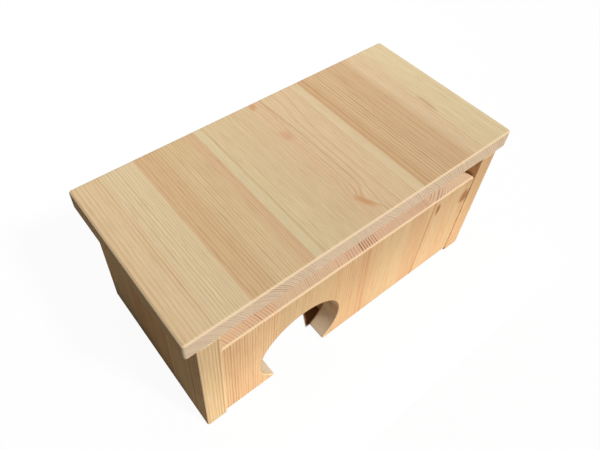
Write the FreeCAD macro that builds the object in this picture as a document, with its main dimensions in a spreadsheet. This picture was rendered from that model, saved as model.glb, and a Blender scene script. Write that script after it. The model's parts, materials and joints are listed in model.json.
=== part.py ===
import FreeCAD, Part
import os
import Sketcher

# Wooden hamster house, sawn from edge-glued pine board. Millimetres.
# +X runs along the house, the doorway faces -Y, +Z is up.
# The origin is on the floor, under the middle of the lid.

doc = FreeCAD.newDocument("hamster_house")
sheet = doc.addObject("Spreadsheet::Sheet", "sizes")

driving_sizes = [
    ("board", 18, "thickness of the glued board that every panel is sawn from"),
    ("stave_width", 54, "width of one stave of that board"),
    ("stave_shift", 1.5, "glue lines of the front and back panel, left of even"),
    ("lid_length", 320, "lid, left to right"),
    ("lid_depth", 155, "lid, front to back"),
    ("end_overhang", 9, "lid past each end panel"),
    ("front_overhang", 1, "lid past the end panels' front and back edges"),
    ("end_height", 132, "end panels, floor to lid"),
    ("vent_gap", 23, "open slot from the lid down to the front and back panel and the partition"),
    ("panel_lift", 3, "their bottom edges above the floor"),
    ("panel_setback", 1, "front and back panel behind the end panels' edges"),
    ("arch_diameter", 83, "hole saw that cuts the doorways"),
    ("foot_gap", 50.4, "doorways' width at the panel's bottom edge"),
    ("arch_offset", 28.5, "front doorway centre, left of the glue line beside its right foot"),
    ("partition_gap", 2, "front doorway's edge to the partition"),
    ("batten_thick", 18, "lid batten, left to right"),
    ("batten_reach", 7, "lid batten, down past the panels' top edges"),
    ("lid_play", 0.75, "battens clear of the panels around them"),
    ("dowel_diameter", 8, "dowels"),
    ("dowel_length", 30, "dowels"),
    ("dowel_play", 0.1, "dowel to the wall of its hole, filled by glue"),
    ("face_depth", 12, "dowel into the face of a panel"),
    ("lid_hole_depth", 10, "dowel into the underside of the lid"),
    ("dowel_inset", 12, "dowel axis from a panel's bottom and top edges"),
    ("batten_inset", 25, "dowel axis from a batten's ends"),
    ("tip_round", 1, "sharp feet beside a doorway, rounded"),
    ("corner_cut", 1.2, "sawn corners of a board, sanded off"),
    ("arris_cut", 0.8, "edges of front and back panel, partition and battens, sanded off"),
    ("edge_round", 1.5, "edges of the end panels, rounded"),
    ("lid_round", 2, "edges of the lid, rounded"),
    ("saw_run", 5, "glue-line cuts past the outside of the wood"),
]

# Worked out from the sizes above, in the sheet itself.
derived_sizes = [
    ("house_length", "=lid_length - 2 * end_overhang"),
    ("house_depth", "=lid_depth - 2 * front_overhang"),
    ("inner_length", "=house_length - 2 * board"),
    ("panel_place", "=house_depth / 2 - panel_setback - board / 2"),
    ("inner_depth", "=2 * panel_place - board"),
    ("panel_height", "=end_height - vent_gap - panel_lift"),
    ("panel_middle", "=panel_lift + panel_height / 2"),
    ("arch_centre", "=sqrt(arch_diameter * arch_diameter - foot_gap * foot_gap) / 2"),
    ("arch_left", "=stave_width / 2 + stave_shift + arch_offset"),
    ("partition_place", "=arch_diameter / 2 + partition_gap + board / 2 - arch_left"),
    ("batten_length", "=inner_depth - 2 * lid_play"),
    ("batten_place", "=inner_length / 2 - lid_play - batten_thick / 2"),
    ("batten_height", "=vent_gap + batten_reach"),
    ("edge_depth", "=dowel_length - face_depth"),
    ("total_height", "=end_height + board"),
]

for row, (alias, value, note) in enumerate(driving_sizes, start=1):
    sheet.set(f"A{row}", alias)
    sheet.set(f"B{row}", str(value))
    sheet.set(f"C{row}", note)
    sheet.setAlias(f"B{row}", alias)

first_derived = len(driving_sizes) + 1
for row, (alias, formula) in enumerate(derived_sizes, start=first_derived):
    sheet.set(f"A{row}", alias)
    sheet.set(f"B{row}", formula)
    sheet.setAlias(f"B{row}", alias)

doc.recompute()

AXES = ("x", "y", "z")
PLANES = {"x": "YZ_Plane", "y": "XZ_Plane", "z": "XY_Plane"}
CLOSE = 0.001  # two places closer than this are the same
FIRST_GUESS = 10  # half size of a sketch before its formulas set it


def bind(feature, prop, formula):
    """Ties a property to a formula of named sizes."""
    feature.setExpression(prop, formula)


def place(feature, x="0", y="0", z="0"):
    for axis, formula in zip(AXES, (x, y, z)):
        bind(feature, f"Placement.Base.{axis}", formula)


def plane_sketch(body, name, role):
    sketch = body.newObject("Sketcher::SketchObject", name)
    planes = body.Origin.OriginFeatures
    plane = next(item for item in planes if item.Role == role)
    sketch.AttachmentSupport = [(plane, "")]
    sketch.MapMode = "FlatFace"
    return sketch


def centred_rectangle(sketch, wide, tall):
    """Four lines, middle on the sketch's origin, width and height tied to formulas."""
    half_wide = half_tall = FIRST_GUESS
    corners = [
        FreeCAD.Vector(-half_wide, -half_tall, 0),
        FreeCAD.Vector(half_wide, -half_tall, 0),
        FreeCAD.Vector(half_wide, half_tall, 0),
        FreeCAD.Vector(-half_wide, half_tall, 0),
    ]
    for index in range(4):
        sketch.addGeometry(Part.LineSegment(corners[index], corners[(index + 1) % 4]))
    for index in range(4):
        sketch.addConstraint(Sketcher.Constraint("Coincident", index, 2, (index + 1) % 4, 1))
    for index, way in enumerate(("Horizontal", "Vertical", "Horizontal", "Vertical")):
        sketch.addConstraint(Sketcher.Constraint(way, index))
    sketch.addConstraint(Sketcher.Constraint("Symmetric", 0, 1, 2, 1, -1, 1))
    width_rule = sketch.addConstraint(Sketcher.Constraint("DistanceX", 0, 1, 0, 2, 2 * half_wide))
    height_rule = sketch.addConstraint(Sketcher.Constraint("DistanceY", 1, 1, 1, 2, 2 * half_tall))
    bind(sketch, f"Constraints[{width_rule}]", wide)
    bind(sketch, f"Constraints[{height_rule}]", tall)


def edges_where(shape, test):
    return [f"Edge{number}" for number, edge in enumerate(shape.Edges, start=1) if test(edge)]


def blank(name, normal, wide, tall, thick, round_by=None, arch_left=None):
    """A board sawn to size, middle on its own origin, its thickness along one axis.

    With arch_left a round doorway is sawn through its bottom edge, so far left of the middle.
    The corners through its thickness are sanded first. The edges of both faces are rounded
    by the size named in round_by, or else sanded off flat.
    """
    body = doc.addObject("PartDesign::Body", name)
    outline = plane_sketch(body, f"{name}_outline", PLANES[normal])
    centred_rectangle(outline, wide, tall)
    pad = body.newObject("PartDesign::Pad", f"{name}_board")
    pad.Profile = outline
    pad.Midplane = True
    bind(pad, "Length", thick)
    last = pad
    if arch_left is not None:
        circle = plane_sketch(body, f"{name}_arch_circle", PLANES[normal])
        drawn_centre = FreeCAD.Vector(-FIRST_GUESS, -FIRST_GUESS, 0)
        circle.addGeometry(Part.Circle(drawn_centre, FreeCAD.Vector(0, 0, 1), FIRST_GUESS))
        diameter = circle.addConstraint(Sketcher.Constraint("Diameter", 0, 2 * FIRST_GUESS))
        bind(circle, f"Constraints[{diameter}]", "sizes.arch_diameter")
        down = circle.addConstraint(Sketcher.Constraint("DistanceY", 0, 3, -1, 1, FIRST_GUESS))
        bind(circle, f"Constraints[{down}]", f"({tall}) / 2 - sizes.arch_centre")
        if arch_left == "0":
            circle.addConstraint(Sketcher.Constraint("PointOnObject", 0, 3, -2))
        else:
            left = circle.addConstraint(Sketcher.Constraint("DistanceX", 0, 3, -1, 1, FIRST_GUESS))
            bind(circle, f"Constraints[{left}]", arch_left)
        doc.recompute()
        arch = body.newObject("PartDesign::Pocket", f"{name}_arch")
        arch.Profile = circle
        arch.Midplane = True
        bind(arch, "Length", f"2 * ({thick})")
        last = arch
    doc.recompute()
    box = pad.Shape.BoundBox
    turn = AXES.index(normal)
    low = (box.XMin, box.YMin, box.ZMin)
    high = (box.XMax, box.YMax, box.ZMax)
    upright = 1 if normal == "z" else 2
    across = 1 if normal == "x" else 0

    def through_edge(an_edge):
        first, second = (vertex.Point for vertex in an_edge.Vertexes[:2])
        along = abs(abs(first[turn] - second[turn]) - (high[turn] - low[turn])) < CLOSE
        at_end = min(abs(first[upright] - low[upright]), abs(first[upright] - high[upright])) < CLOSE
        return along and at_end

    def corner_edge(an_edge):
        start = an_edge.Vertexes[0].Point
        outermost = min(abs(start[across] - low[across]), abs(start[across] - high[across])) < CLOSE
        return through_edge(an_edge) and outermost

    def tip_edge(an_edge):
        return through_edge(an_edge) and not corner_edge(an_edge)

    def face_edge(an_edge):
        reach = an_edge.BoundBox
        span = ((reach.XMin, reach.XMax), (reach.YMin, reach.YMax), (reach.ZMin, reach.ZMax))[turn]
        flat = abs(span[0] - span[1]) < CLOSE
        return flat and min(abs(span[0] - low[turn]), abs(span[0] - high[turn])) < CLOSE

    steps = [("corners", "Chamfer", "Size", "corner_cut", corner_edge)]
    if arch_left is not None:
        steps.insert(0, ("tips", "Fillet", "Radius", "tip_round", tip_edge))
    if round_by is None:
        steps.append(("arrises", "Chamfer", "Size", "arris_cut", face_edge))
    else:
        steps.append(("edges", "Fillet", "Radius", round_by, face_edge))
    for label, kind, prop, alias, test in steps:
        finish = body.newObject(f"PartDesign::{kind}", f"{name}_{label}")
        finish.Base = (last, edges_where(last.Shape, test))
        bind(finish, prop, f"sizes.{alias}")
        body.Tip = finish
        doc.recompute()
        last = finish
    return body


def round_bar(name, along, radius, x, y, z):
    """A cylinder as long as a dowel, along +X, +Y or +Z from its starting point."""
    bar = doc.addObject("Part::Cylinder", name)
    bind(bar, "Radius", radius)
    bind(bar, "Height", "sizes.dowel_length")
    turns = {
        "x": FreeCAD.Rotation(FreeCAD.Vector(0, 1, 0), 90),
        "y": FreeCAD.Rotation(FreeCAD.Vector(1, 0, 0), -90),
        "z": FreeCAD.Rotation(),
    }
    bar.Placement.Rotation = turns[along]
    place(bar, x, y, z)
    return bar


def dowel_joint(name, along, starts):
    """Dowels at their starting points, and the holes they sit in."""
    dowels = []
    holes = []
    for number, (x, y, z) in enumerate(starts, start=1):
        dowels.append(round_bar(f"{name}_bar_{number}", along, DOWEL_RADIUS, x, y, z))
        holes.append(round_bar(f"{name}_hole_{number}", along, HOLE_RADIUS, x, y, z))
    group = doc.addObject("Part::Compound", name)
    group.Links = dowels
    cutter = doc.addObject("Part::Compound", f"{name}_holes")
    cutter.Links = holes
    return group, cutter


def drilled(body, cutters):
    """The blank with its blind dowel holes."""
    for cutter in cutters:
        cut = doc.addObject("Part::Cut", f"{body.Name}_{cutter.Name}")
        cut.Base = body
        cut.Tool = cutter
        body = cut
    return body


def slab(name, start, length, along):
    """The space of one stave between two glue lines, across the whole house."""
    box = doc.addObject("Part::Box", name)
    wide = {"x": "sizes.lid_length", "y": "sizes.lid_depth"}
    sides = {
        "x": ("Length", wide["x"]),
        "y": ("Width", wide["y"]),
    }
    for axis, (prop, full) in sides.items():
        if axis == along:
            bind(box, prop, length)
            bind(box, f"Placement.Base.{axis}", start)
        else:
            bind(box, prop, f"{full} + 2 * sizes.saw_run")
            bind(box, f"Placement.Base.{axis}", f"-({full}) / 2 - sizes.saw_run")
    bind(box, "Height", "sizes.total_height + 2 * sizes.saw_run")
    bind(box, "Placement.Base.z", "-sizes.saw_run")
    return box


def slabs(name, along, full, lines):
    """One slab between each pair of neighbouring glue lines, the outer ones past the wood."""
    starts = [f"-({full}) / 2 - sizes.saw_run"] + lines
    ends = lines + [f"({full}) / 2 + sizes.saw_run"]
    made = []
    for number, (start, end) in enumerate(zip(starts, ends), start=1):
        made.append(slab(f"{name}_{number}", start, f"({end}) - ({start})", along))
    return made


def staves(name, board, spaces):
    """The staves that a board is glued from, each a piece of its own."""
    for number, space in enumerate(spaces, start=1):
        stave = doc.addObject("Part::Common", f"{name}_stave_{number}")
        stave.Base = board
        stave.Tool = space
        parts.append(stave)


parts = []

# Glue lines: the lid has six staves, the front and back panel five, the end panels three with one
# in the middle, and the partition two wide ones that meet over the middle of its doorway.
LID_LINES = [f"{step} * sizes.stave_width" for step in (-2, -1, 0, 1, 2)]
PANEL_LINES = [f"{step} * sizes.stave_width - sizes.stave_shift" for step in (-1.5, -0.5, 0.5, 1.5)]
END_LINES = ["-sizes.stave_width / 2", "sizes.stave_width / 2"]
PARTITION_LINES = ["0"]
lid_spaces = slabs("lid_space", "x", "sizes.lid_length", LID_LINES)
panel_spaces = slabs("panel_space", "x", "sizes.lid_length", PANEL_LINES)
end_spaces = slabs("end_space", "y", "sizes.lid_depth", END_LINES)
partition_spaces = slabs("partition_space", "y", "sizes.lid_depth", PARTITION_LINES)

# Dowels lie low and high in each joint, half in a face and half in an edge.
DOWEL_RADIUS = "sizes.dowel_diameter / 2"
HOLE_RADIUS = "sizes.dowel_diameter / 2 + sizes.dowel_play"
LEVELS = ["sizes.panel_lift + sizes.dowel_inset",
          "sizes.panel_lift + sizes.panel_height - sizes.dowel_inset"]
FRONT = "-sizes.panel_place"
BACK = "sizes.panel_place"
CORNERS = [(side, level) for side in (FRONT, BACK) for level in LEVELS]
LEFT_START = "-sizes.inner_length / 2 - sizes.face_depth"
RIGHT_START = "sizes.inner_length / 2 - sizes.edge_depth"
PARTITION_STARTS = ["-sizes.inner_depth / 2 - sizes.face_depth",
                    "sizes.inner_depth / 2 - sizes.edge_depth"]
PARTITION_ENDS = [(start, level) for start in PARTITION_STARTS for level in LEVELS]
BATTEN_START = "sizes.end_height + sizes.lid_hole_depth - sizes.dowel_length"
BATTEN_HOLE = "(sizes.batten_length / 2 - sizes.batten_inset)"
BATTEN_ENDS = [(f"{side} * sizes.batten_place", f"{way} * {BATTEN_HOLE}")
               for side in (-1, 1) for way in (-1, 1)]

left_dowels, left_holes = dowel_joint(
    "left_corner_dowels", "x", [(LEFT_START, side, level) for side, level in CORNERS])
right_dowels, right_holes = dowel_joint(
    "right_corner_dowels", "x", [(RIGHT_START, side, level) for side, level in CORNERS])
inner_dowels, inner_holes = dowel_joint(
    "partition_dowels", "y", [("sizes.partition_place", start, level) for start, level in PARTITION_ENDS])
lid_dowels, lid_holes = dowel_joint(
    "batten_dowels", "z", [(x, y, BATTEN_START) for x, y in BATTEN_ENDS])
parts += [left_dowels, right_dowels, inner_dowels, lid_dowels]

# House: two end panels carry the lid, front and back panel stand between them.
front = blank("front_board", "y", "sizes.inner_length", "sizes.panel_height", "sizes.board",
              arch_left="sizes.arch_left")
place(front, y=FRONT, z="sizes.panel_middle")
staves("front", drilled(front, [left_holes, right_holes, inner_holes]), panel_spaces)

back = blank("back_board", "y", "sizes.inner_length", "sizes.panel_height", "sizes.board")
place(back, y=BACK, z="sizes.panel_middle")
staves("back", drilled(back, [left_holes, right_holes, inner_holes]), panel_spaces)

for side, sign, holes in (("left", -1, left_holes), ("right", 1, right_holes)):
    end = blank(f"{side}_end_board", "x", "sizes.house_depth", "sizes.end_height", "sizes.board",
                round_by="edge_round")
    place(end, x=f"{sign} * (sizes.house_length - sizes.board) / 2", z="sizes.end_height / 2")
    staves(f"{side}_end", drilled(end, [holes]), end_spaces)

partition = blank("partition_board", "x", "sizes.inner_depth", "sizes.panel_height", "sizes.board",
                  arch_left="0")
place(partition, x="sizes.partition_place", z="sizes.panel_middle")
staves("partition", drilled(partition, [inner_holes]), partition_spaces)

# Lid: a flat board, with a batten just inside each end panel.
lid = blank("lid_board", "z", "sizes.lid_length", "sizes.lid_depth", "sizes.board", round_by="lid_round")
place(lid, z="sizes.end_height + sizes.board / 2")
staves("lid", drilled(lid, [lid_holes]), lid_spaces)

for side, sign in (("left", -1), ("right", 1)):
    strip = blank(f"{side}_batten_strip", "z", "sizes.batten_thick", "sizes.batten_length",
                  "sizes.batten_height")
    place(strip, x=f"{sign} * sizes.batten_place", z="sizes.end_height - sizes.batten_height / 2")
    batten = drilled(strip, [lid_holes])
    batten.Label = f"lid_batten_{side}"
    parts.append(batten)

doc.recompute()

for feature in doc.Objects:
    if "Invalid" in feature.State or "Error" in feature.State:
        raise RuntimeError(f"{feature.Label} failed: {feature.State}")

os.makedirs("parts", exist_ok=True)
for part in parts:
    if part.Shape.isNull() or not part.Shape.isValid() or not part.Shape.Solids:
        raise RuntimeError(f"{part.Label} has no valid solid")
    part.Shape.exportStep(f"parts/{part.Label}.step")
    print(part.Label, len(part.Shape.Solids), round(part.Shape.Volume, 1))
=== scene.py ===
import json
import math

import bpy
import numpy as np
from mathutils import Matrix, Vector

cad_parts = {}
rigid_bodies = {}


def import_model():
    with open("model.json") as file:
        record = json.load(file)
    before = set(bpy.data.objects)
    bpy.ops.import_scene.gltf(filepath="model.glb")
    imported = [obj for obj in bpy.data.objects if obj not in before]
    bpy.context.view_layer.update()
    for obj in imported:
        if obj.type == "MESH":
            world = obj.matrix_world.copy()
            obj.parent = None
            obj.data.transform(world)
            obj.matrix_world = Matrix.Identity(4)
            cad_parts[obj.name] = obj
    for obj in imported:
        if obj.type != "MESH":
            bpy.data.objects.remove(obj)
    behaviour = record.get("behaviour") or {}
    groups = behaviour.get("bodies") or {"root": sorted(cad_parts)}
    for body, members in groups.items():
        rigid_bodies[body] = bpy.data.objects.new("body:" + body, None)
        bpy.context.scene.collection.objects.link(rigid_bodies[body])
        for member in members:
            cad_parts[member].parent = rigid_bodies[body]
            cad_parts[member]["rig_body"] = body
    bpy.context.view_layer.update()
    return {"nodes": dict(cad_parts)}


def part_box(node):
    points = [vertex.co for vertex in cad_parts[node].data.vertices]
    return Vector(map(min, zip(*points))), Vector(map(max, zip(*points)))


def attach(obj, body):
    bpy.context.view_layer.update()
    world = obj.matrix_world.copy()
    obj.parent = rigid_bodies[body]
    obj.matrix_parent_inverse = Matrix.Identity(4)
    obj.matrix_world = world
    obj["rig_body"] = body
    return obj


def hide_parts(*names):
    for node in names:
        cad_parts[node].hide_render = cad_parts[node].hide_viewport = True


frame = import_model()
print("frame loaded:", len(frame["nodes"]), "nodes")


# Camera, where the photograph was taken from.
camera = dict(
    place=(-0.2175, -0.2255, 0.4661),  # m
    aim=(-0.0108, 0.0150, 0.1),  # a point inside the house
    roll=3.0,  # degrees
    lens=34.22,  # mm
    sensor=36,
    shift=(0.0342, -0.05),  # the fitted lens looks past the picture's middle
    near=0.01,  # m
)


def setCamera():
    data = bpy.data.cameras.new("camera")
    data.sensor_width = camera["sensor"]
    data.lens = camera["lens"]
    data.shift_x, data.shift_y = camera["shift"]
    data.clip_start = camera["near"]
    seen = bpy.data.objects.new("camera", data)
    bpy.context.scene.collection.objects.link(seen)
    look = Vector(camera["aim"]) - Vector(camera["place"])
    turn = look.to_track_quat("-Z", "Y").to_matrix()
    turn = turn @ Matrix.Rotation(math.radians(camera["roll"]), 3, "Z")
    seen.matrix_world = Matrix.Translation(camera["place"]) @ turn.to_4x4()
    bpy.context.scene.camera = seen


setCamera()


# Materials. A Wire is one socket of a material's tree; sums and products of wires add Math nodes.
class Wire:
    def __init__(self, tree, socket):
        self.tree = tree
        self.socket = socket

    def node(self, kind, settings=None, inputs=None, out=0):
        made = self.tree.nodes.new(kind)
        for key, value in (settings or {}).items():
            setattr(made, key, value)
        for key, value in (inputs or {}).items():
            if isinstance(value, Wire):
                self.tree.links.new(value.socket, made.inputs[key])
            else:
                made.inputs[key].default_value = value
        return Wire(self.tree, made.outputs[out])

    def maths(self, operation, first, second=0.0):
        return self.node("ShaderNodeMath", {"operation": operation}, {0: first, 1: second})

    def __add__(self, other):
        return self.maths("ADD", self, other)

    __radd__ = __add__

    def __sub__(self, other):
        return self.maths("SUBTRACT", self, other)

    def __rsub__(self, other):
        return self.maths("SUBTRACT", other, self)

    def __mul__(self, other):
        return self.maths("MULTIPLY", self, other)

    __rmul__ = __mul__

    def __truediv__(self, other):
        return self.maths("DIVIDE", self, other)

    def __pow__(self, other):
        return self.maths("POWER", self, other)

    def size(self):
        return self.maths("ABSOLUTE", self)

    def below(self, other):
        return self.maths("MINIMUM", self, other)

    def floor(self):
        return self.maths("FLOOR", self)

    def over(self, other):
        return self.maths("MAXIMUM", self, other)

    def hill(self):  # 1 in the middle, falling as exp(-square)
        return self.maths("EXPONENT", self * self * -1.0)

    def ramp(self, start, stop, low=0.0, high=1.0):  # smooth step from start to stop
        settings = {"interpolation_type": "SMOOTHSTEP"}
        return self.node("ShaderNodeMapRange", settings, {0: self, 1: start, 2: stop, 3: low, 4: high})

    def tint(self, colour, amount):  # mixes a colour in, by an amount from 0 to 1
        return mixColours(self, amount, self, colour)

    def dye(self, colour, amount):  # multiplies by a colour
        return mixColours(self, amount, self, colour, "MULTIPLY")

    def parts(self, axes):  # a vector's numbers along these axes
        return [self.node("ShaderNodeSeparateXYZ", {}, {0: self}, out=axis.upper()) for axis in axes]


def mixColours(wire, amount, first, second, blend="MIX"):  # sockets 2, 6 and 7 are the node's colours
    shown = [linear(colour) if isinstance(colour, tuple) else colour for colour in (first, second)]
    settings = {"data_type": "RGBA", "blend_type": blend}
    return wire.node("ShaderNodeMix", settings, {0: amount, 6: shown[0], 7: shown[1]}, out=2)


def linear(colour):  # a screen colour of 0 to 255 as linear light, by the sRGB curve
    share = np.array(colour) / 255
    light = np.where(share <= 0.04045, share / 12.92, ((share + 0.055) / 1.055) ** 2.4)
    return (*[float(value) for value in light], 1.0)


def noiseAt(wire, places, detail=2.0, rough=0.5):
    spot = wire.node("ShaderNodeCombineXYZ", {}, dict(enumerate(places)))
    inputs = {"Vector": spot, "Scale": 1.0, "Detail": detail, "Roughness": rough}
    return wire.node("ShaderNodeTexNoise", {}, inputs)


# Pine. Lengths in mm. A face's turn is its normal's share along an axis, 0 to 1. Pairs are where an
# effect begins and where it is full, for steps as a value of the noise behind it.
woodSets = dict(
    wander=1.2,  # slow waves of the grain
    wanderAcross=55,
    wanderAlong=190,
    ringUneven=1.6,  # rings, how far their spacing drifts
    ringDrift=0.21,  # and how fast, per ring
    lateStart=0.40,  # share of a ring where the dark wood begins
    lateFull=0.86,
    lateEnd=0.97,
    lateLeast=0.3,  # the faintest year's dark wood
    lateSeed=7.0,  # keeps the years of two staves apart
    lateFade=70,  # each year fades in and out over such lengths
    fadeLeast=0.55,
    fadeSteps=(0.3, 0.7),
    toneAcross=14,  # broad pale and warm patches
    toneThrough=40,
    toneAlong=160,
    toneSteps=(0.35, 0.65),
    fibreAcross=0.53,
    fibreAlong=22,
    fibreSteps=(0.4, 0.85),
    fibreRough=0.65,
    fibreColour=(176, 146, 112),
    fibreAmount=0.46,
    fleckAcross=0.38,
    fleckAlong=6,
    fleckShift=3.0,  # flecks lie off the fibres
    fleckSteps=(0.66, 0.76),
    fleckAmount=0.24,
    endTurn=(0.35, 0.85),  # end grain, by the turn along the grain
    endPale=(248, 226, 197),
    endDark=(158, 106, 74),
    endShare=0.85,
    endStrength=0.45,
    highlitSandedTurn=(0.1, 0.35),  # arrises, sanded paler and lit by a painted highlight, from the edge
    highlitSandedEnd=(0.97, 0.80),  # and from the face
    highlitSandedColour=(255, 229, 188),  # paler than the faces: sanded wood and a painted highlight
    highlitSandedAmount=0.75,
    sawnTurn=(0.1, 0.0),  # slanting cut of a doorway, square to the board
    sawnSlant=(0.0, 0.25),
    sawnColour=(250, 236, 206),
    sawnAmount=0.55,
    gritFine=2.2,  # grains per mm on end grain
    roughness=0.76,
    fibreDull=0.12,
    endDull=0.18,
    lateDull=-0.08,
    fibreHeight=0.5,
    lateHeight=0.25,
    gritHeight=0.6,
    bump=0.12,
    relief=0.00015,  # m
    specular=0.02,
)
knotSets = dict(
    ragged=0.5,  # roughness of a knot's outline, in half widths
    raggedAcross=5,
    raggedAlong=8,
    core=0.35,  # full colour inside this share
    lineWide=0.22,  # lines in a ringed knot
    lineLeast=0.3,
    spread=0.6,  # how the lines beside it are pushed, per half width
)
grainAxes = {"lid": "xzy", "long": "xyz", "end": "yxz", "bar": "yzx"}  # across, through, along the grain


def streak(across, run, band):
    # A band along the grain. It may lean, bend beside a spot as exp(-square), or fade out at both ends.
    middle = across - band["at"] - run * band.get("lean", 0.0)
    for spot, length, push in band.get("bends", []):
        middle = middle - ((run - spot) / length).hill() * push
    cover = middle.size().ramp(band["wide"] + band["soft"], band["wide"]) * band["amount"]
    if "span" in band:
        middleRun, halfRun = band["span"]
        cover = cover * ((run - middleRun) / halfRun).hill()
    return cover


def knotReach(across, run, knot, seed):
    # Distance to a knot's middle in half widths, sqrt(x squared + y squared), roughened a little.
    aside = across - knot["at"][0] - (run - knot["at"][1]) * knot.get("lean", 0.0)
    knotX = aside / knot["size"][0]
    knotY = (run - knot["at"][1]) / knot["size"][1]
    place = (across / knotSets["raggedAcross"] + seed, run / knotSets["raggedAlong"], seed)
    ragged = noiseAt(across, place, detail=1.0) - 0.5
    return (knotX * knotX + knotY * knotY) ** 0.5 + ragged * knotSets["ragged"]


def knotCover(reach, knot):
    cover = reach.ramp(1.0, knot.get("core", knotSets["core"])) * knot["amount"]
    if "rings" in knot:  # lines at even distances, each fading as exp(-square)
        turn = reach * knot["rings"]
        line = ((turn - turn.floor() - 0.5) / knotSets["lineWide"]).hill()
        least = knotSets["lineLeast"]
        cover = cover * (line * (1 - least) + least)
    return cover


def pine(name, along, look):
    # Solid pine. Growth rings are cylinders round a pith line that runs with the grain: ring number =
    # distance to the pith / ring width. Each ring goes slowly from pale to dark wood and stops sharply.
    material = bpy.data.materials.new(name)
    material.use_nodes = True
    tree = material.node_tree
    shader = tree.nodes["Principled BSDF"]
    start = Wire(tree, None)
    seed = look["seed"]
    sets = woodSets

    spot = start.node("ShaderNodeTexCoord", out="Object")
    spot = start.node("ShaderNodeVectorMath", {"operation": "SCALE"}, {0: spot, "Scale": 1000.0})  # mm
    across, through, run = spot.parts(grainAxes[along])
    facing = start.node("ShaderNodeTexCoord", out="Normal")
    turned = [share.size() for share in facing.parts(grainAxes[along])]
    endGrain = turned[2].ramp(*sets["endTurn"])
    # Arrises get paler sanded wood and a painted highlight, by the turn of the face.
    highlitSanded = turned[1].ramp(*sets["highlitSandedTurn"]) * turned[1].ramp(*sets["highlitSandedEnd"])
    slant = turned[0].ramp(*sets["sawnSlant"]) * turned[2].ramp(*sets["sawnSlant"])
    sawn = turned[1].ramp(*sets["sawnTurn"]) * slant

    step, length = sets["wanderAcross"], sets["wanderAlong"]
    place = (across / step + seed, through / step, run / length)
    wander = (noiseAt(start, place) - 0.5) * (2 * look.get("wander", sets["wander"]))
    line = across + wander + run * look.get("lean", 0.0)
    knots = look.get("knots", [])
    reaches = [knotReach(across, run, knot, seed) for knot in knots]
    for knot, reach in zip(knots, reaches):
        line = line + (reach * knotSets["spread"]).hill() * knot.get("push", 0.0)
    pithX, pithY = look["pith"]
    sideways = line - pithX
    depth = through - pithY
    ring = (sideways * sideways + depth * depth) ** 0.5 / look["ring"]
    drift = noiseAt(start, (ring * sets["ringDrift"] + seed, seed, 0.0), detail=1.0) - 0.5
    ring = ring + drift * sets["ringUneven"]

    year = ring.floor()
    part = ring - year
    inputs = {"W": year + seed * sets["lateSeed"]}
    chance = start.node("ShaderNodeTexWhiteNoise", {"noise_dimensions": "1D"}, inputs)
    late = part.ramp(sets["lateStart"], sets["lateFull"]) * part.ramp(1.0, sets["lateEnd"])
    fading = noiseAt(start, (year + seed, run / sets["lateFade"], seed), detail=1.0)
    fading = fading.ramp(*sets["fadeSteps"], sets["fadeLeast"], 1.0)
    late = late * (chance * (1 - sets["lateLeast"]) + sets["lateLeast"]) * fading

    place = (across / sets["toneAcross"] + seed, through / sets["toneThrough"], run / sets["toneAlong"])
    tones = noiseAt(start, place, detail=1.0).ramp(*sets["toneSteps"])
    colour = mixColours(start, tones, look["pale"], look["warm"])
    for band in look.get("bands", []):
        colour = colour.tint(band["colour"], streak(across, run, band))
    colour = colour.tint(look.get("endPale", sets["endPale"]), endGrain * sets["endShare"])
    colour = colour.tint(look["dark"], (late * look["strength"]).below(1.0) * (1.0 - endGrain))
    endLines = look.get("endStrength", sets["endStrength"])
    for middle, half, extra in look.get("endBands", []):
        endLines = ((across - middle) / half).hill() * extra + endLines
    colour = colour.tint(sets["endDark"], (late * endGrain * endLines).below(1.0))
    for knot, reach in zip(knots, reaches):
        colour = colour.tint(knot["colour"], knotCover(reach, knot))

    step, length = sets["fibreAcross"], sets["fibreAlong"]
    place = (across / step, through / step, run / length)
    fibres = noiseAt(start, place, detail=4.0, rough=sets["fibreRough"])
    step, length = sets["fleckAcross"], sets["fleckAlong"]
    place = (across / step + sets["fleckShift"], through / step, run / length)
    flecks = noiseAt(start, place, detail=1.0).ramp(*sets["fleckSteps"])
    colour = colour.dye(sets["fibreColour"], fibres.ramp(*sets["fibreSteps"]) * sets["fibreAmount"])
    colour = colour.tint(look["dark"], flecks * sets["fleckAmount"])
    # Painted highlight, with paler sanded wood, along the arrises.
    colour = colour.tint(sets["highlitSandedColour"], highlitSanded * sets["highlitSandedAmount"])
    colour = colour.tint(sets["sawnColour"], sawn * sets["sawnAmount"])
    tree.links.new(colour.socket, shader.inputs["Base Color"])

    grit = noiseAt(start, [way * sets["gritFine"] for way in (across, through, run)], detail=3.0)
    dull = fibres * sets["fibreDull"] + endGrain * sets["endDull"] + late * sets["lateDull"]
    tree.links.new((dull + sets["roughness"]).socket, shader.inputs["Roughness"])
    height = fibres * sets["fibreHeight"] + late * sets["lateHeight"]
    height = height + grit * endGrain * sets["gritHeight"]
    inputs = {"Strength": sets["bump"], "Distance": sets["relief"], "Height": height}
    bump = start.node("ShaderNodeBump", {}, inputs)
    tree.links.new(bump.socket, shader.inputs["Normal"])
    shader.inputs["Specular IOR Level"].default_value = sets["specular"]
    return material


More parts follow.
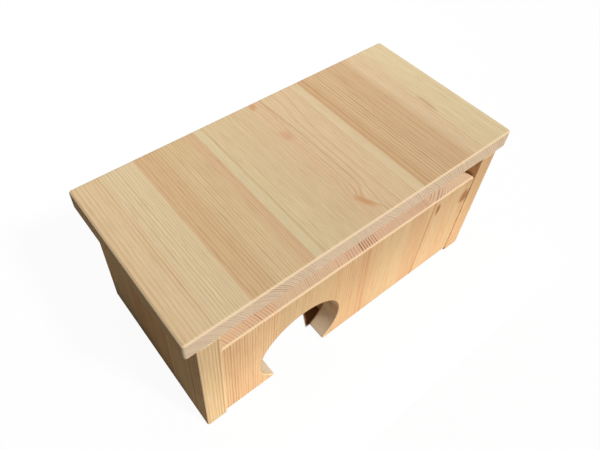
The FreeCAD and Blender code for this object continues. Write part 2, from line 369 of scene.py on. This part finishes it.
# Pieces. A stave is sawn from an outline in its board's plane and rounded along its free edges.
# Lengths in m.
sawSets = dict(
    lidRound=(0.002, 0.002),  # below and above; for upright boards, on the low and the high side
    panelRound=(0.0018, 0.0018),
    leftRound=(0.0018, 0.0006),  # an end panel is sharper where the long panels meet it
    rightRound=(0.0006, 0.0018),
    corner=0.0025,  # corners of a board, seen square to its face
    archShare=0.45,  # rounding of a doorway's edge, of that of the outer edges
    buttShare=0.2,  # the same for a side that butts against an end panel
    tip=0.001,  # sharp feet beside a doorway
    quarterSteps=6,
    archSteps=26,
    shortSide=0.006,  # shorter sides of an outline belong to an arc
    samePlace=1e-7,  # closer points are one
    straight=1e-3,  # sides that turn less than this go straight on
)
doorway = dict(
    radius=0.0415,
    height=0.03597,  # of its centre
    frontAt=-0.057,
    partitionAt=0.0,
)
boardAxes = {"lid": (0, 1, 2), "long": (0, 2, 1), "end": (1, 2, 0)}  # across, up, through


def arc(centre, radius, start, stop, steps):
    # Centre + radius (cos a, sin a) for even steps of the angle a, in degrees.
    angle = np.radians(np.linspace(start, stop, steps + 1))
    return np.column_stack([centre[0] + radius * np.cos(angle), centre[1] + radius * np.sin(angle)])


def rectangle(low, high, glued, butted):
    # Corner by corner against the clock. Each run is its points, whether a glue line follows it,
    # and its share of the rounding, which goes down towards a side that butts against an end panel.
    sides = ["bottom", "right", "top", "left"]
    corners = [(low[0], low[1]), (high[0], low[1]), (high[0], high[1]), (low[0], high[1])]
    inward = [(1, 1), (-1, 1), (-1, -1), (1, -1)]
    radius, steps = sawSets["corner"], sawSets["quarterSteps"]
    runs = []
    for index, (corner, way) in enumerate(zip(corners, inward)):
        before, after = sides[index - 1], sides[index]
        points, share = np.array([corner]), 1.0
        if before not in glued and after not in glued:
            centre = np.array(corner) + radius * np.array(way)
            points = arc(centre, radius, 180 + 90 * index, 270 + 90 * index, steps)
            first, last = [sawSets["buttShare"] if side == butted else 1.0 for side in (before, after)]
            share = np.linspace(first, last, len(points))
        runs.append((points, after in glued, share))
    return runs


def archRun(middle, bottom, low, high):
    # The doorway's edge from left to right, with a rounded foot where the stave has one.
    radius, tip = doorway["radius"], sawSets["tip"]
    centre = np.array([middle, doorway["height"]])
    rise = doorway["height"] - bottom - tip
    reach = math.sqrt((radius + tip) ** 2 - rise ** 2)
    tilt = math.degrees(math.atan2(rise, reach))
    steps = sawSets["quarterSteps"]
    points = []
    start = 180 + tilt
    stop = -tilt
    if low > middle - radius:
        start = math.degrees(math.acos((low - middle) / radius))
    else:
        points.append(arc((middle - reach, bottom + tip), tip, -90, tilt, steps))
    if high < middle + radius:
        stop = math.degrees(math.acos((high - middle) / radius))
    points.append(arc(centre, radius, start, stop, sawSets["archSteps"]))
    if high >= middle + radius:
        points.append(arc((middle + reach, bottom + tip), tip, 180 - tilt, 270, steps))
    joined = np.concatenate(points)
    apart = np.linalg.norm(np.diff(joined, axis=0), axis=1) > sawSets["samePlace"]
    return joined[np.concatenate([[True], apart])]


def archOutline(low, high, glued, butted, middle):
    # The doorway's edge takes the place of the corners that it cuts off.
    runs = rectangle(low, high, glued, butted)
    arch = archRun(middle, low[1], low[0], high[0])
    left, right, rest = runs[0], runs[1], runs[2:]
    share = sawSets["archShare"]
    if low[0] <= middle - doorway["radius"]:
        return [left, (arch, True, share)] + rest
    if high[0] >= middle + doorway["radius"]:
        return [(arch, False, share), right] + rest
    return [(arch, True, share)] + rest


def insetVectors(points, free):
    # How each point moves per unit of inset: a free side moves inward, a glued one stays on its line.
    side = np.roll(points, -1, axis=0) - points
    side /= np.linalg.norm(side, axis=1)[:, None]
    after = np.column_stack([-side[:, 1], side[:, 0]])
    before = np.roll(after, 1, axis=0)
    moveAfter = free.astype(float)
    moveBefore = np.roll(moveAfter, 1)
    turn = before[:, 0] * after[:, 1] - before[:, 1] * after[:, 0]
    straightOn = np.abs(turn) < sawSets["straight"]
    safe = np.where(straightOn, 1.0, turn)
    cornered = np.column_stack([
        (moveBefore * after[:, 1] - moveAfter * before[:, 1]) / safe,
        (moveAfter * before[:, 0] - moveBefore * after[:, 0]) / safe,
    ])
    return np.where(straightOn[:, None], after * moveAfter[:, None], cornered)


def creaseFlatFaces(mesh, smooth):
    # Every edge of a flat face is sharp, so roundings end evenly where a stave meets the next one.
    edges = np.empty(len(mesh.loops), int)
    mesh.loops.foreach_get("edge_index", edges)
    sizes = np.empty(len(mesh.polygons), int)
    mesh.polygons.foreach_get("loop_total", sizes)
    sharp = np.zeros(len(mesh.edges), bool)
    sharp[edges[np.repeat(~smooth, sizes)]] = True
    mesh.attributes.new("sharp_edge", "BOOLEAN", "EDGE").data.foreach_set("value", sharp)


def sawStave(node, board, runs, rounding, material):
    # Loops of the outline at several depths: the outer ones are drawn in along a quarter circle,
    # inset = r (1 - sin a) at depth r (1 - cos a), and flat faces close both ends.
    points = np.concatenate([run[0] for run in runs])
    share = np.concatenate([np.full(len(run[0]), run[2]) for run in runs])[:, None]
    ends = np.cumsum([len(run[0]) for run in runs]) - 1
    free = np.ones(len(points), bool)
    free[ends] = [not run[1] for run in runs]
    u, v, w = boardAxes[board]
    lowest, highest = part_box(node)
    angle = np.linspace(0, math.pi / 2, sawSets["quarterSteps"] + 1)
    lowRound, highRound = rounding
    insets = np.concatenate([lowRound * (1 - np.sin(angle)), highRound * (1 - np.sin(angle[::-1]))])
    lowDepth = lowest[w] + lowRound * (1 - np.cos(angle))
    highDepth = highest[w] - highRound * (1 - np.cos(angle[::-1]))
    depths = np.concatenate([lowDepth, highDepth])
    flat = points[None] + insets[:, None, None] * (insetVectors(points, free) * share)[None]
    places = np.empty((len(insets), len(points), 3))
    places[..., u] = flat[..., 0]
    places[..., v] = flat[..., 1]
    places[..., w] = depths[:, None]

    count = len(points)
    loop, step = np.meshgrid(np.arange(len(insets) - 1), np.arange(count), indexing="ij")
    here, there = loop * count + step, loop * count + (step + 1) % count
    quads = np.stack([here, there, there + count, here + count], axis=-1).reshape(-1, 4)
    bottom = np.arange(count)[::-1]
    top = np.arange(count) + (len(insets) - 1) * count
    faces = [list(face) for face in quads.tolist()] + [bottom.tolist(), top.tolist()]
    if board == "long":  # its axes are a left hand's
        faces = [face[::-1] for face in faces]
    mesh = bpy.data.meshes.new(node + "_wood")
    mesh.from_pydata(places.reshape(-1, 3).tolist(), [], faces)
    length = np.linalg.norm(np.roll(points, -1, axis=0) - points, axis=1)
    curved = free[step] & ((length[step] < sawSets["shortSide"]) | (loop != sawSets["quarterSteps"]))
    smooth = np.concatenate([curved.reshape(-1), [False, False]])
    mesh.polygons.foreach_set("use_smooth", smooth)
    mesh.materials.append(material)
    mesh.update()
    creaseFlatFaces(mesh, smooth)
    piece = bpy.data.objects.new(node + "_wood", mesh)
    bpy.context.scene.collection.objects.link(piece)
    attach(piece, frame["nodes"][node]["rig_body"])
    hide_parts(node)


def boardStaves(prefix, board, rounding, looks, middle=None):
    names = sorted(name for name in frame["nodes"] if name.startswith(prefix + "_stave_"))
    u, v = boardAxes[board][:2]
    last = len(names) - 1
    reach = doorway["radius"]
    for index, (name, look) in enumerate(zip(names, looks)):
        lowest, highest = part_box(name)
        low, high = (lowest[u], lowest[v]), (highest[u], highest[v])
        glued = {side for side, inner in (("left", index > 0), ("right", index < last)) if inner}
        butted = {0: "left", last: "right"}.get(index) if board == "long" else None
        if middle is not None and low[0] < middle + reach and high[0] > middle - reach:
            low = (low[0], min(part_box(names[0])[0][v], low[1]))  # from the board's bottom edge
            runs = archOutline(low, high, glued, butted, middle)
        else:
            runs = rectangle(low, high, glued, butted)
        sawStave(name, board, runs, rounding, pine(name, board, look))
    print(prefix, "staves made:", len(names))


# Looks, stave by stave from the low end. pith is where the rings' middle lies, across and through the
# board; bands, knots and endBands are placed across it, and knots also along the grain.
lidLooks = [
    dict(seed=1.3, pith=(-186, 96), ring=1.75, strength=0.66, endStrength=0.48, wander=1.0,
         pale=(236, 213, 170), warm=(233, 206, 163), dark=(204, 163, 116),
         bands=[dict(at=-157, wide=9, soft=16, amount=0.35, colour=(233, 200, 155)),
                dict(at=-120, wide=8, soft=10, amount=0.5, colour=(231, 213, 172))]),
    dict(seed=2.1, pith=(-136, 92), ring=1.60, strength=0.68, endStrength=0.7, wander=0.8,
         pale=(229, 201, 156), warm=(226, 197, 152), dark=(198, 156, 108),
         bands=[dict(at=-100, wide=7, soft=9, amount=0.6, colour=(224, 185, 140)),
                dict(at=-57.5, wide=4, soft=3, amount=0.6, colour=(224, 186, 146))]),
    dict(seed=3.7, pith=(-92, 96), ring=1.25, strength=0.62, endStrength=0.48, wander=0.7,
         pale=(230, 207, 163), warm=(228, 203, 160), dark=(198, 165, 120),
         bands=[dict(at=-51, wide=3, soft=2.5, amount=0.7, colour=(230, 213, 172)),
                dict(at=-45.5, wide=0.4, soft=0.6, amount=0.35, colour=(190, 160, 112)),
                dict(at=-8, wide=6, soft=12, amount=0.35, colour=(227, 196, 157))]),
    dict(seed=4.4, pith=(-36, 88), ring=1.9, strength=0.54, endStrength=0.48, wander=1.4,
         pale=(232, 206, 165), warm=(230, 201, 160), dark=(202, 160, 116),
         bands=[dict(at=5, wide=5, soft=5, amount=0.5, colour=(229, 194, 156)),
                dict(at=50, wide=3, soft=3, amount=0.6, colour=(233, 214, 173)),
                dict(at=16, wide=0.3, soft=1.6, amount=0.4, colour=(196, 148, 102), span=(10, 120),
                     bends=[(78, 32, -3), (-58, 9, -8)]),
                dict(at=13, wide=0.4, soft=2.2, amount=0.3, colour=(204, 158, 112), span=(60, 34)),
                dict(at=22, wide=0.3, soft=1.2, amount=0.24, colour=(200, 154, 108),
                     bends=[(78, 36, 4), (-62, 16, -5)]),
                dict(at=28, wide=0.3, soft=1.2, amount=0.24, colour=(200, 154, 108),
                     bends=[(78, 40, 8)])],
         knots=[dict(at=(4, 73), size=(6, 8), lean=0.3, push=2.2, core=0.1, amount=0.75,
                     colour=(214, 164, 114)),
                dict(at=(5, 28), size=(6, 11), lean=-0.2, push=1.8, core=0.1, amount=0.6,
                     colour=(218, 168, 124)),
                dict(at=(8, -60), size=(5, 13), lean=-0.45, push=4.5, core=0.15, amount=0.8,
                     colour=(212, 162, 110)),
                dict(at=(56, 88), size=(12, 14), rings=7, core=0.2, amount=0.35,
                     colour=(196, 150, 102))]),
    dict(seed=5.2, pith=(20, 94), ring=2.1, strength=0.85, endStrength=0.48, wander=0.7,
         pale=(226, 195, 152), warm=(222, 188, 146), dark=(190, 144, 98),
         bands=[dict(at=58, wide=4, soft=7, amount=0.5, colour=(216, 176, 130)),
                dict(at=101, wide=5, soft=6, amount=0.5, colour=(221, 186, 145))]),
    dict(seed=6.8, pith=(74, 96), ring=1.9, strength=0.58, endStrength=0.48, wander=1.0,
         pale=(234, 212, 170), warm=(232, 207, 165), dark=(202, 162, 116),
         bands=[dict(at=110, wide=1.5, soft=4, amount=0.6, colour=(222, 188, 147)),
                dict(at=118, wide=2.5, soft=4, amount=0.5, colour=(233, 204, 168)),
                dict(at=150, wide=9, soft=8, amount=0.7, colour=(237, 219, 175))],
         knots=[dict(at=(128.5, -12), size=(2.2, 18), lean=0.04, amount=0.42, colour=(190, 142, 100))]),
]
frontLooks = [
    dict(seed=11.3, pith=(-172, -90), ring=2.35, strength=0.78, wander=0.5,
         endStrength=0.45, endBands=[(-97, 13, 0.75)], endPale=(246, 214, 178),
         pale=(238, 204, 158), warm=(236, 198, 152), dark=(182, 126, 80)),
    dict(seed=12.1, pith=(-150, -40), ring=1.9, strength=0.34, wander=0.6,
         endStrength=0.35, endBands=[(-42, 12, 0.45)], endPale=(242, 216, 184),
         pale=(229, 199, 154), warm=(226, 194, 148), dark=(202, 160, 112)),
    dict(seed=13.9, pith=(-85, -48), ring=2.6, strength=0.6, wander=1.0, lean=0.04,
         endStrength=0.3, endBands=[(7, 14, 0.85)], endPale=(244, 212, 182),
         pale=(229, 195, 150), warm=(226, 190, 144), dark=(202, 152, 106),
         bands=[dict(at=13.5, lean=-0.06, wide=1.0, soft=1.4, amount=0.5, colour=(210, 152, 110)),
                dict(at=8.0, lean=-0.05, wide=0.9, soft=1.2, amount=0.4, colour=(210, 152, 110))]),
    dict(seed=14.4, pith=(-40, -52), ring=2.3, strength=0.4, wander=0.9, lean=0.02,
         endStrength=0.3, endBands=[(74, 8, 0.5)], endPale=(242, 210, 180),
         pale=(230, 201, 156), warm=(227, 196, 150), dark=(204, 160, 114),
         bands=[dict(at=70, lean=-0.03, wide=9, soft=3, amount=0.6, colour=(225, 182, 140))]),
    dict(seed=15.8, pith=(64, -30), ring=2.6, strength=0.36, wander=3.0,
         endStrength=0.2, endBands=[(90, 11, 0.85)], endPale=(248, 220, 188),
         pale=(233, 201, 157), warm=(230, 193, 147), dark=(204, 154, 106),
         bands=[dict(at=80.6, lean=0.03, wide=0.5, soft=0.8, amount=0.7, colour=(184, 132, 86))],
         knots=[dict(at=(128, 87), size=(8, 11), push=8.0, core=0.45, amount=0.8, colour=(170, 120, 76)),
                dict(at=(90, 95), size=(3.6, 8.5), push=2.5, amount=0.9, colour=(168, 116, 74))]),
]
backLooks = [
    dict(seed=21.0, pith=(-178, 82), ring=1.9, strength=0.40, wander=0.8,
         pale=(232, 202, 156), warm=(229, 196, 150), dark=(204, 156, 108)),
    dict(seed=22.6, pith=(-98, 92), ring=1.5, strength=0.45, wander=0.6,
         pale=(228, 193, 146), warm=(224, 186, 139), dark=(198, 149, 100)),
    dict(seed=23.2, pith=(-6, 92), ring=2.4, strength=0.35, wander=1.4,
         pale=(232, 206, 162), warm=(230, 201, 156), dark=(204, 159, 114),
         knots=[dict(at=(14, 44), size=(6, 9), push=4.0, rings=1.6, core=0.4, amount=0.6,
                     colour=(180, 130, 88))]),
    dict(seed=24.9, pith=(96, 84), ring=1.6, strength=0.35, wander=0.7,
         pale=(230, 202, 158), warm=(227, 197, 151), dark=(202, 157, 110)),
    dict(seed=25.5, pith=(140, 96), ring=2.0, strength=0.45, wander=0.9,
         pale=(227, 192, 147), warm=(222, 184, 139), dark=(195, 145, 97)),
]
leftLooks = [
    dict(seed=31.1, pith=(-44, -190), ring=2.4, strength=0.72, wander=0.7,
         pale=(236, 208, 161), warm=(233, 203, 156), dark=(180, 132, 84)),
    dict(seed=32.7, pith=(4, -176), ring=2.5, strength=0.45, wander=1.2,
         pale=(229, 194, 147), warm=(224, 186, 139), dark=(198, 147, 99)),
    dict(seed=33.3, pith=(86, -180), ring=1.8, strength=0.35, wander=0.6,
         pale=(232, 205, 158), warm=(229, 199, 151), dark=(204, 157, 110)),
]
rightLooks = [
    dict(seed=41.4, pith=(-50, 196), ring=2.0, strength=0.40, wander=0.8,
         pale=(236, 199, 152), warm=(233, 194, 147), dark=(204, 154, 106)),
    dict(seed=42.2, pith=(-8, 182), ring=2.4, strength=0.35, wander=1.2,
         pale=(232, 206, 161), warm=(229, 201, 154), dark=(204, 157, 111),
         knots=[dict(at=(9, 84), size=(7, 11), push=4.5, rings=1.6, core=0.4, amount=0.6,
                     colour=(178, 128, 86))]),
    dict(seed=43.6, pith=(92, 186), ring=1.7, strength=0.42, wander=0.7,
         pale=(229, 194, 147), warm=(224, 187, 140), dark=(198, 150, 102)),
]
partitionLooks = [
    dict(seed=51.2, pith=(-70, -66), ring=1.9, strength=0.40, wander=0.8,
         pale=(224, 187, 141), warm=(219, 179, 132), dark=(193, 142, 94)),
    dict(seed=52.9, pith=(66, -60), ring=2.1, strength=0.35, wander=0.9,
         pale=(227, 192, 146), warm=(222, 185, 138), dark=(197, 147, 99)),
]
boardStaves("lid", "lid", sawSets["lidRound"], lidLooks)
boardStaves("front", "long", sawSets["panelRound"], frontLooks, doorway["frontAt"])
boardStaves("back", "long", sawSets["panelRound"], backLooks)
boardStaves("left_end", "end", sawSets["leftRound"], leftLooks)
boardStaves("right_end", "end", sawSets["rightRound"], rightLooks)
boardStaves("partition", "end", sawSets["panelRound"], partitionLooks, doorway["partitionAt"])

battenLook = dict(seed=61.0, pith=(-140, 80), ring=2.2, strength=0.4, wander=0.6,
                  pale=(230, 196, 146), warm=(224, 188, 138), dark=(198, 148, 98))
dowelLook = dict(seed=71.0, pith=(-300, 40), ring=1.1, strength=0.3, wander=0.4,
                 pale=(212, 172, 128), warm=(206, 164, 120), dark=(178, 132, 92))


def finishNodes(material, names):
    for name in names:
        mesh = frame["nodes"][name].data
        mesh.materials.clear()
        mesh.materials.append(material)


finishNodes(pine("batten", "lid", battenLook), ["lid_batten_left", "lid_batten_right"])
for way, names in {"long": ["batten_dowels"], "lid": ["partition_dowels"],
                   "bar": ["left_corner_dowels", "right_corner_dowels"]}.items():
    finishNodes(pine("dowel_" + way, way, dowelLook), names)
print("battens and dowels finished")


# Studio: a white floor with a soft shadow, a soft sun in front, a fill lamp behind and a low one in front.
studio = dict(
    floorSize=3.0,
    floorColour=(168, 155, 142),  # as it lights the house
    floorSeen=(255, 255, 254),  # as the camera sees it
    floorWhite=0.95,  # share of plain white in that
    floorRough=0.9,
    roomShadeColour=(150, 112, 80),  # painted shade: the floor in the house's shade and under its back panel, as the camera sees it
    roomMiddle=0.0095,  # along y
    roomHalf=(0.142, 0.0675),
    roomEdge=0.002,
    sunlitSlant=0.58,  # a painted sunlit patch behind the doorway, where the camera sees the floor white, ends on this line
    sunlitShift=0.0006,
    sunlitEdge=0.001,
    sunlitDepth=(-0.015, -0.040),  # and fades between these
    sky=0.05,
    skyColour=(250, 250, 253),
    sun=2.74,
    sunColour=(255, 254, 254),
    sunFrom=(0.24, -0.61, 0.74),
    sunSoft=9,  # degrees
)
fillLamp = dict(
    place=(0.15, 0.50, 0.55),
    aim=(0.0, 0.0, 0.15),
    size=(0.5, 0.5),
    power=1.85,  # W
    colour=(252, 252, 255),
)
lowLamp = dict(
    place=(0.0, -0.165, 0.012),
    aim=(0.0, -0.05, 0.02),
    size=(0.40, 0.02),
    power=0.11,
    colour=(255, 248, 240),
)


def seenDirectly(start):  # 1 for what the camera sees, straight or in gloss and glass
    rays = ("Is Camera Ray", "Is Glossy Ray", "Is Transmission Ray")
    straight, glossy, through = [start.node("ShaderNodeLightPath", out=ray) for ray in rays]
    return straight.over(glossy).over(through)


def setFloor():
    half = studio["floorSize"] / 2
    mesh = bpy.data.meshes.new("floor")
    corners = [(-half, -half, 0), (half, -half, 0), (half, half, 0), (-half, half, 0)]
    mesh.from_pydata(corners, [], [(0, 1, 2, 3)])
    floor = bpy.data.objects.new("floor", mesh)
    bpy.context.scene.collection.objects.link(floor)
    material = bpy.data.materials.new("floor")
    material.use_nodes = True
    tree = material.node_tree
    start = Wire(tree, None)
    shader = tree.nodes["Principled BSDF"]
    shader.inputs["Roughness"].default_value = studio["floorRough"]
    shader.inputs["Specular IOR Level"].default_value = 0.0
    x, y = start.node("ShaderNodeTexCoord", out="Object").parts("xy")
    # Painted shade and light on the floor in the house: a darker warm colour in its shade, and plain white
    # in a sunlit patch behind the doorway.
    (roomX, roomY), roomEdge = studio["roomHalf"], studio["roomEdge"]
    insideX = x.size().ramp(roomX, roomX - roomEdge)
    insideY = (y - studio["roomMiddle"]).size().ramp(roomY, roomY - roomEdge)
    past = x - y * studio["sunlitSlant"] + studio["sunlitShift"]
    sunlit = past.ramp(studio["sunlitEdge"], -studio["sunlitEdge"]) * y.ramp(*studio["sunlitDepth"])
    shaded = insideX * insideY * (1.0 - sunlit)
    direct = seenDirectly(start)
    seen = direct * (1.0 - shaded)
    colour = mixColours(start, seen, studio["floorColour"], studio["floorSeen"])
    # Painted shade: the camera sees the floor in the house's shade in the darker warm colour.
    colour = colour.tint(studio["roomShadeColour"], direct * shaded)
    tree.links.new(colour.socket, shader.inputs["Base Color"])
    white = start.node("ShaderNodeEmission", {}, {"Color": (1, 1, 1, 1), "Strength": 1.0})
    inputs = {0: seen * studio["floorWhite"], 1: Wire(tree, shader.outputs[0]), 2: white}
    mixed = start.node("ShaderNodeMixShader", {}, inputs)
    tree.links.new(mixed.socket, tree.nodes["Material Output"].inputs["Surface"])
    mesh.materials.append(material)


def setSky():
    world = bpy.data.worlds.new("sky")
    bpy.context.scene.world = world
    world.use_nodes = True
    tree = world.node_tree
    start = Wire(tree, None)
    soft = tree.nodes["Background"]
    soft.inputs["Color"].default_value = linear(studio["skyColour"])
    soft.inputs["Strength"].default_value = studio["sky"]
    white = start.node("ShaderNodeBackground", {}, {"Color": (1, 1, 1, 1), "Strength": 1.0})
    inputs = {0: seenDirectly(start), 1: Wire(tree, soft.outputs[0]), 2: white}
    mixed = start.node("ShaderNodeMixShader", {}, inputs)
    tree.links.new(mixed.socket, tree.nodes["World Output"].inputs["Surface"])


def setSun():
    lamp = bpy.data.lights.new("sun", "SUN")
    lamp.energy = studio["sun"]
    lamp.color = linear(studio["sunColour"])[:3]
    lamp.angle = math.radians(studio["sunSoft"])
    sun = bpy.data.objects.new("sun", lamp)
    sun.rotation_euler = Vector(studio["sunFrom"]).to_track_quat("Z", "Y").to_euler()
    bpy.context.scene.collection.objects.link(sun)


def setLamp(name, sets):
    lamp = bpy.data.lights.new(name, "AREA")
    lamp.shape = "RECTANGLE"
    lamp.size, lamp.size_y = sets["size"]
    lamp.energy = sets["power"]
    lamp.color = linear(sets["colour"])[:3]
    panel = bpy.data.objects.new(name, lamp)
    panel.location = sets["place"]
    back = Vector(sets["place"]) - Vector(sets["aim"])
    panel.rotation_euler = back.to_track_quat("Z", "Y").to_euler()
    panel.visible_camera = False
    bpy.context.scene.collection.objects.link(panel)


setFloor()
setSky()
setSun()
setLamp("fill", fillLamp)
setLamp("low", lowLamp)
bpy.context.scene.view_settings.view_transform = "Standard"
print("studio set")
